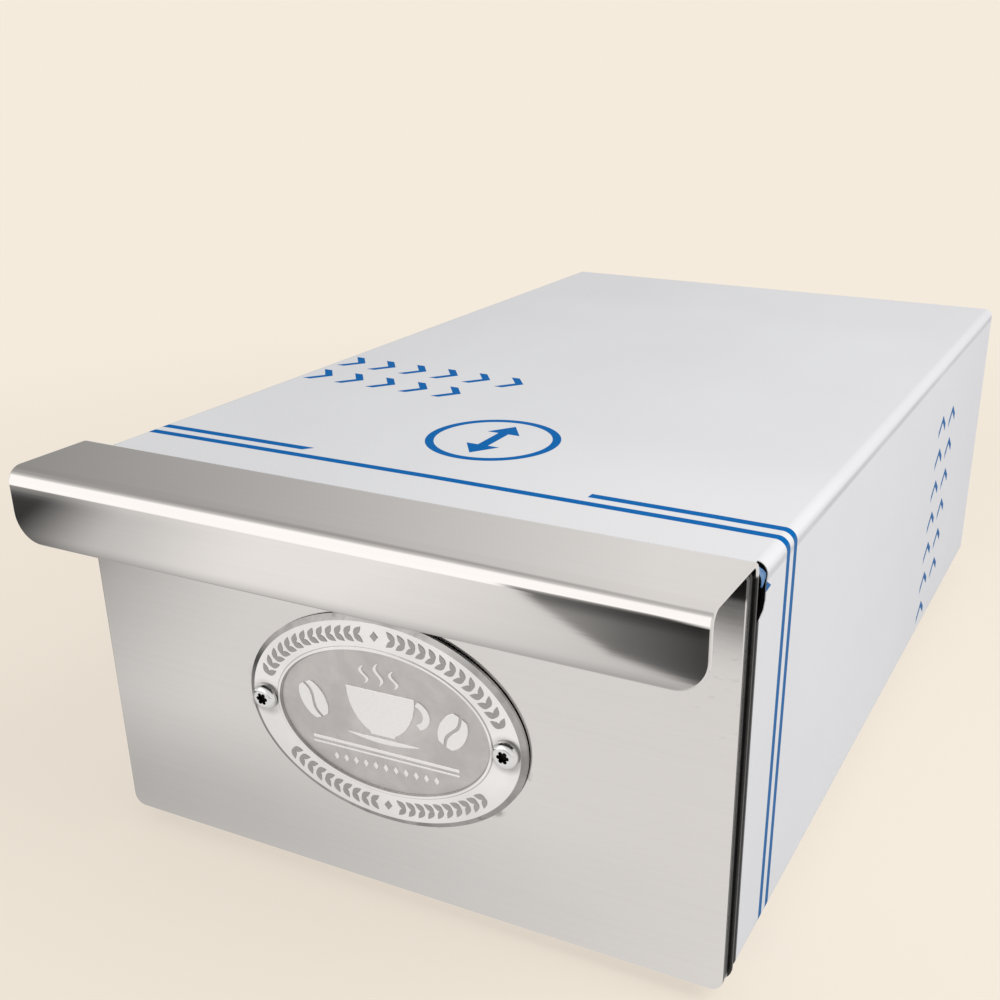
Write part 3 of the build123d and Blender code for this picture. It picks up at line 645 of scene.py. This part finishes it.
def leaf_outline():
    """Pointed leaf from the origin along X."""
    count = 7
    shares = [i / count for i in range(count + 1)]
    upper = [(LEAF_LENGTH * t, 0.5 * LEAF_WIDTH * math.sin(math.pi * t ** 0.8)) for t in shares]
    return upper + [(px, -pz) for px, pz in reversed(upper[1:-1])]


def badge_wreath():
    """Leaf sprays round the badge's ring, with a gap at each screw, a lozenge at head and foot."""
    shape = bmesh.new()
    stride = 0.02
    semi_x, semi_z = WREATH_OVAL
    leaf = leaf_outline()
    foot = BADGE_FACE + RELIEF_SINK
    for first, last in ((16.0, 82.0), (164.0, 98.0), (-36.0, -85.0), (216.0, 265.0)):
        turn = 1.0 if last > first else -1.0
        angle = math.radians(first)
        travelled = 0.0
        while turn * (math.radians(last) - angle) > 0.0:
            speed = math.hypot(semi_x * math.sin(angle), semi_z * math.cos(angle))
            if travelled <= 0.0:
                x, z = semi_x * math.cos(angle), semi_z * math.sin(angle)
                rise, run = turn * semi_z * math.cos(angle), -turn * semi_x * math.sin(angle)
                for lean in (-LEAF_LEAN, LEAF_LEAN):
                    outline = placed(leaf, x, z, math.atan2(rise, run) + lean)
                    raised(shape, outline, foot, WREATH_HEIGHT, WREATH_BEVEL)
                travelled = LEAF_PITCH
            angle += turn * stride / speed
            travelled -= stride
    lozenge = [(1.3, 0.0), (0.0, 1.5), (-1.3, 0.0), (0.0, -1.5)]
    for z in (semi_z, -semi_z):
        raised(shape, placed(lozenge, 0.0, z), foot, WREATH_HEIGHT, WREATH_BEVEL)
    return seat_on_badge(shape)


def bean_half(side):
    """Half of a coffee bean, split along an S-shaped furrow."""
    rows = [(-1.0 + 2.0 * i / 14) for i in range(15)]
    furrow = [(side * 0.38 + 0.62 * math.sin(math.pi * t), 5.0 * t * 0.93) for t in rows]
    skin = [(side * 3.4 * math.sqrt(max(0.0, 1.0 - t * t)) + 0.15 * side, 5.2 * t) for t in rows]
    return furrow + [p for p in reversed(skin) if abs(p[0]) > 0.9]


def badge_emblem():
    """Cup on a saucer between two beans, over a double rule and a row of lozenges."""
    shape = bmesh.new()
    foot = BADGE_FIELD + RELIEF_SINK
    flank = [(9.6, 6.4), (9.45, 4.0), (8.9, 1.6), (7.9, -0.6),
             (6.5, -2.6), (4.9, -4.1), (3.6, -4.9), (3.4, -5.6)]
    bowl = flank + [(-x, z) for x, z in reversed(flank)]
    raised(shape, placed(bowl, 0.0, EMBLEM_LIFT, 0.0, EMBLEM_SCALE), foot, 0.4, 0.12)
    arc = [math.radians(a) for a in range(-68, 73, 10)]
    grip = [(9.0 + 4.6 * math.cos(a), 2.2 + 4.0 * math.sin(a)) for a in arc]
    grip += [(8.6 + 3.1 * math.cos(a), 2.2 + 2.6 * math.sin(a)) for a in reversed(arc)]
    raised(shape, placed(grip, 0.0, EMBLEM_LIFT, 0.0, EMBLEM_SCALE), foot, 0.34, 0.1)
    rim = [(12.4 * (1.0 - i / 9.0), -5.1) for i in range(19)]
    saucer = rim + [(x, -5.1 - 1.6 * (1.0 - (x / 12.4) ** 2)) for x, _ in reversed(rim[1:-1])]
    raised(shape, saucer, foot, 0.36, 0.1)
    for place, tall in ((-4.8, 5.4), (0.0, 6.8), (4.8, 5.4)):
        steps = [i / 16.0 for i in range(17)]
        line = [(place + 1.1 * math.sin(2.0 * math.pi * t), 11.2 + tall * t,
                 0.16 + 0.52 * math.sin(math.pi * t)) for t in steps]
        wisp = [(x + w, z) for x, z, w in line] + [(x - w, z) for x, z, w in reversed(line)]
        raised(shape, wisp, foot, 0.3, 0.08)
    for side in (-1.0, 1.0):
        for half in (-1.0, 1.0):
            bean = placed(bean_half(half), side * 22.6, 2.4, -side * 0.5, 1.2)
            raised(shape, bean, foot, 0.4, 0.12)
    for level, thick in ((-9.4, 0.5), (-11.0, 0.3)):
        above, below = level + thick, level - thick
        rule = [(24.0, above), (-24.0, above), (-24.0, below), (24.0, below)]
        raised(shape, rule, foot, 0.3, 0.08)
    lozenge = [(0.85, 0.0), (0.0, 1.35), (-0.85, 0.0), (0.0, -1.35)]
    for index in range(-5, 6):
        raised(shape, placed(lozenge, 3.3 * index, -14.4), foot, 0.24, 0.07)
    return seat_on_badge(shape)


def film_scrap():
    """Thin curled offcut of film caught in the right corner notch of the casing."""
    shape = bmesh.new()
    front = [(-144.5, 122.2), (-144.1, 121.2), (-143.8, 120.1),
             (-143.6, 119.0), (-143.5, 118.2), (-143.4, 117.4)]
    back = [(-142.5, 122.2), (-141.2, 121.0), (-140.3, 119.9),
            (-140.5, 119.0), (-141.5, 118.1), (-143.0, 117.3)]
    rows, columns = len(front), 5
    rings = []
    for (fy, fz), (by, bz) in zip(front, back):
        ring = []
        for step in range(columns):
            t = step / (columns - 1.0)
            y, z = fy + (by - fy) * t, fz + (bz - fz) * t
            drop = max(0.0, z - 119.2) / 3.2
            x = 100.75 - 1.5 * drop * drop - 0.35 * math.sin(math.pi * t)
            ring.append((x, y, z))
        rings.append(ring)
    skins = []
    for offset in (0.0, -SCRAP_THICKNESS):
        shift = Vector((offset, 0.0, 0.3 * offset))
        skins.append([[shape.verts.new(Vector(point) + shift) for point in ring] for ring in rings])
    for skin in skins:
        for i in range(rows - 1):
            for j in range(columns - 1):
                shape.faces.new((skin[i][j], skin[i][j + 1], skin[i + 1][j + 1], skin[i + 1][j]))
    border = [(0, j) for j in range(columns)]
    border += [(i, columns - 1) for i in range(1, rows)]
    border += [(rows - 1, j) for j in range(columns - 2, -1, -1)]
    border += [(i, 0) for i in range(rows - 2, 0, -1)]
    for (i, j), (k, m) in zip(border, border[1:] + border[:1]):
        shape.faces.new((skins[0][i][j], skins[0][k][m], skins[1][k][m], skins[1][i][j]))
    return shape


def weld_seam(shape, start, end):
    """A rippled round bead with tapered ends, laid into a corner from start to end."""
    start, end = Vector(start), Vector(end)
    length = (end - start).length
    ahead = (end - start).normalized()
    side = ahead.orthogonal().normalized()
    up = ahead.cross(side)
    count = int(length / BEAD_STEP)
    rings = []
    for i in range(count + 1):
        along = length * i / count
        taper = min(1.0, (0.25 + along) / 1.2, (0.25 + length - along) / 1.2)
        wave = 1.0 + 0.13 * math.sin(2.0 * math.pi * along / BEAD_RIPPLE)
        size = BEAD_RADIUS * taper * wave
        centre = start + ahead * along
        rings.append([shape.verts.new(centre + (side * math.cos(a) + up * math.sin(a)) * size)
                      for a in (2.0 * math.pi * k / BEAD_SIDES for k in range(BEAD_SIDES))])
    for low, high in zip(rings, rings[1:]):
        for k in range(BEAD_SIDES):
            after = (k + 1) % BEAD_SIDES
            shape.faces.new((low[k], low[after], high[after], high[k]))
    shape.faces.new(list(reversed(rings[0])))
    shape.faces.new(rings[-1])


def tub_seams():
    """Weld beads inside the tub, where the end walls meet the folded trough."""
    shape = bmesh.new()
    low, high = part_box("tub_trough")
    right, _, top = (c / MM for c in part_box("tub_front_wall")[1])
    wall = right - TUB_SHEET
    floor = low[2] / MM + TUB_SHEET
    for y in (low[1] / MM + BEAD_INSET, high[1] / MM - BEAD_INSET):
        for x in (BEAD_INSET - wall, wall - BEAD_INSET):
            weld_seam(shape, (x, y, floor + 4.0), (x, y, top - 3.0))
        level = floor + BEAD_INSET
        weld_seam(shape, (4.0 - wall, y, level), (wall - 4.0, y, level))
    return shape


weld_steel = steel("weld_steel", 0.22, EVERY_WAY, 0.1, 700.0,
                   (0.66, 0.645, 0.62), (0.52, 0.49, 0.45))
wreath_steel = steel("wreath_steel", 0.42, EVERY_WAY, 0.2, 1600.0,
                     (0.44, 0.43, 0.42), (0.36, 0.35, 0.34))
emblem_steel = steel("emblem_steel", 0.2, EVERY_WAY, 0.05, 1200.0,
                     (0.90, 0.895, 0.89), (0.84, 0.835, 0.83))
piece("badge_wreath", badge_wreath(), "drawer", wreath_steel)
piece("badge_emblem", badge_emblem(), "drawer", emblem_steel)
piece("film_scrap", film_scrap(), "casing", scrap_material())
piece("tub_seams", tub_seams(), "drawer", weld_steel)


def mirrored_floor(g):
    """Strength of the floor where steel mirrors it, in zones that go with the drawer."""
    x, y, _, _ = g.places(frame["bodies"]["drawer"])
    # Brighter further ahead of the front, with a dark slanting band to the left
    w = g.add(x, g.mul(y, -0.45), 139.5)
    left = g.add(g.step(w, -50.0, 25.0, 0.0, 0.6), g.step(w, -10.0, 115.0, 0.0, 0.4))
    left = g.most(left, g.step(w, -90.0, -210.0), 0.045)
    zone = g.add(g.step(y, -640.0, -425.0, 0.0, 0.35), g.step(y, -425.0, -400.0, 0.0, 0.65))
    zone = g.mul(zone, g.step(y, -120.0, -170.0))
    level = g.blend(g.step(y, -300.0, -390.0), g.ramp(x, -90.0, 60.0, 0.905, 0.935), 1.09)
    level = g.mul(level, g.blend(zone, 1.0, left), g.step(y, -425.0, -620.0, 1.0, 1.28))
    # Dimmer further ahead on the right, and a painted shadow of the object on the left close to the
    # front
    right = g.mul(g.step(y, -328.0, -362.0), g.ramp(x, -150.0, 12.0, 0.0, 0.29))
    level = g.mul(level, g.sub(1.0, right))
    below = g.mul(g.step(y, -225.0, -162.0), g.step(y, -140.0, -152.0))
    painted_contact_shadow = g.mul(below, g.ramp(x, 95.0, -120.0, 0.0, 0.34))
    level = g.mul(level, g.sub(1.0, painted_contact_shadow))
    # Dark shape with slanted sides that the right end of the lip mirrors
    steep = g.sub(g.add(g.mul(x, 0.6), -367.6), y)
    depth = g.least(steep, g.sub(g.add(g.mul(x, 0.25), -371.0), y))
    slant = g.add(x, g.mul(y, -0.5), -131.0)
    flag = g.mul(g.step(depth, -3.0, 4.0), g.step(slant, -8.0, 12.0))
    flag = g.mul(flag, g.step(x, 120.0, 60.0), g.step(y, -1500.0, -430.0))
    q = g.add(x, g.mul(y, -0.4), -160.0)
    flag = g.mul(flag, g.step(q, 62.0, 20.0))
    dim = g.sub(g.ramp(q, -62.0, -14.0, 0.45, 0.19), g.ramp(q, -14.0, 22.0, 0.0, 0.125))
    dim = g.mul(dim, g.step(y, -399.0, -411.0, 1.0, 0.4))
    return g.blend(flag, level, dim)


def stage_floor():
    """Floor in the background's colour that takes the shadow near the object."""
    mesh = bpy.data.meshes.new("floor")
    shape = bmesh.new()
    bmesh.ops.create_grid(shape, x_segments=1, y_segments=1, size=FLOOR_HALF)
    shape.to_mesh(mesh)
    shape.free()
    floor = bpy.data.objects.new("floor", mesh)
    bpy.context.collection.objects.link(floor)
    made, g = material("pale_floor")
    made.cycles.emission_sampling = "NONE"
    x, y, _, _ = g.places()
    shaded = g.step(g.hypot(x, y), 700.0, 260.0, 0.0, 0.32)
    path = g.node("ShaderNodeLightPath")
    camera_ray = path.outputs["Is Camera Ray"]
    mirrored = g.most(path.outputs["Is Glossy Ray"], path.outputs["Is Transmission Ray"])
    level = mirrored_floor(g)
    seen = g.node("ShaderNodeEmission", {"Color": (*STUDIO, 1.0), "Strength": level})
    plain = g.node("ShaderNodeBsdfDiffuse", {"Color": (0.66, 0.66, 0.66, 1.0)})
    lit = g.node("ShaderNodeBsdfDiffuse", {"Color": (*BACKGROUND, 1.0)})
    glow = g.node("ShaderNodeEmission", {"Color": (*BACKGROUND, 1.0), "Strength": 1.0})
    shown = g.node("ShaderNodeMixShader", {0: shaded, 1: glow.outputs[0], 2: lit.outputs[0]})
    shader = plain
    for factor, other in ((mirrored, seen), (camera_ray, shown)):
        inputs = {0: factor, 1: shader.outputs[0], 2: other.outputs[0]}
        shader = g.node("ShaderNodeMixShader", inputs)
    out = g.node("ShaderNodeOutputMaterial")
    g.tree.links.new(shader.outputs[0], out.inputs["Surface"])
    mesh.materials.append(made)


def mirrored_world(g):
    """Strength of the surroundings where steel mirrors them, by the direction they lie in."""
    x, y, z = g.split(g.node("ShaderNodeTexCoord").outputs["Generated"])
    # Darker to the left behind the object, then a dim band overhead, a middle tone and a bright
    # zone in front, by the angle from straight up towards the back, and one tone from below
    back = g.ramp(x, -0.745, -0.34, 0.355, 0.955)
    tilt = g.math("ARCTAN2", y, z)
    falling = g.add(tilt, g.ramp(x, -0.61, -0.32, 0.0, 0.54))
    rising = g.add(tilt, g.ramp(x, -0.50, -0.30, 0.08, 0.27))
    level = g.blend(g.step(falling, 0.26, -0.12), back, 0.455)
    level = g.blend(g.step(rising, -0.14, -0.56), level, 0.76)
    front = g.mul(g.ramp(x, -0.25, -0.05, 1.38, 0.93), g.step(x, -0.78, -0.92, 1.0, 0.6))
    level = g.blend(g.step(rising, -0.48, -0.76), level, front)
    return g.blend(g.step(z, -0.02, -0.15), level, 0.72)


def stage_world():
    """Plain soft light, the background for the camera, and zones for what steel mirrors."""
    world = bpy.data.worlds.new("studio")
    bpy.context.scene.world = world
    g = Graph(world)
    world.cycles.sampling_method = "NONE"
    path = g.node("ShaderNodeLightPath")
    camera_ray = path.outputs["Is Camera Ray"]
    mirrored = g.most(path.outputs["Is Glossy Ray"], path.outputs["Is Transmission Ray"])
    colour = g.mix(mirrored, (1.0, 1.0, 1.0), STUDIO)
    colour = g.mix(camera_ray, colour, BACKGROUND)
    level = mirrored_world(g)
    strength = g.blend(camera_ray, g.blend(mirrored, SKY_LEVEL, level), 1.0)
    shader = g.node("ShaderNodeBackground", {"Color": colour, "Strength": strength})
    out = g.node("ShaderNodeOutputWorld")
    g.tree.links.new(shader.outputs[0], out.inputs["Surface"])


def stage_lamp():
    """Large soft lamp that gives a white level surface at its aim the strength LAMP_LEVEL."""
    lamp = bpy.data.lights.new("soft_lamp", "AREA")
    lamp.shape = "DISK"
    lamp.size = LAMP_SIZE
    place = Vector(LAMP_PLACE)
    away = place - Vector(LAMP_AIM)
    lamp.energy = LAMP_LEVEL * math.pi ** 2 * away.length_squared * away.length / away.z
    holder = bpy.data.objects.new("soft_lamp", lamp)
    holder.rotation_euler = away.to_track_quat("Z", "Y").to_euler()
    holder.location = place
    holder.visible_glossy = False
    holder.visible_camera = False
    bpy.context.collection.objects.link(holder)


def stage_camera():
    """Camera as fitted to the photograph."""
    forward = Vector(CAMERA_FORWARD).normalized()
    up = Vector(CAMERA_RIGHT).cross(forward).normalized()
    right = forward.cross(up)
    data = bpy.data.cameras.new("camera")
    data.sensor_width = SENSOR_WIDTH
    data.lens = LENS
    data.shift_x, data.shift_y = SHIFT
    data.clip_start, data.clip_end = CAMERA_CLIP
    camera = bpy.data.objects.new("camera", data)
    columns = (right, up, -forward, Vector(CAMERA_PLACE))
    rows = [[column[row] for column in columns] for row in range(3)]
    camera.matrix_world = Matrix((*rows, (0.0, 0.0, 0.0, 1.0)))
    bpy.context.collection.objects.link(camera)
    bpy.context.scene.camera = camera


stage_floor()
stage_world()
stage_lamp()
stage_camera()
bpy.context.scene.view_settings.view_transform = "Standard"
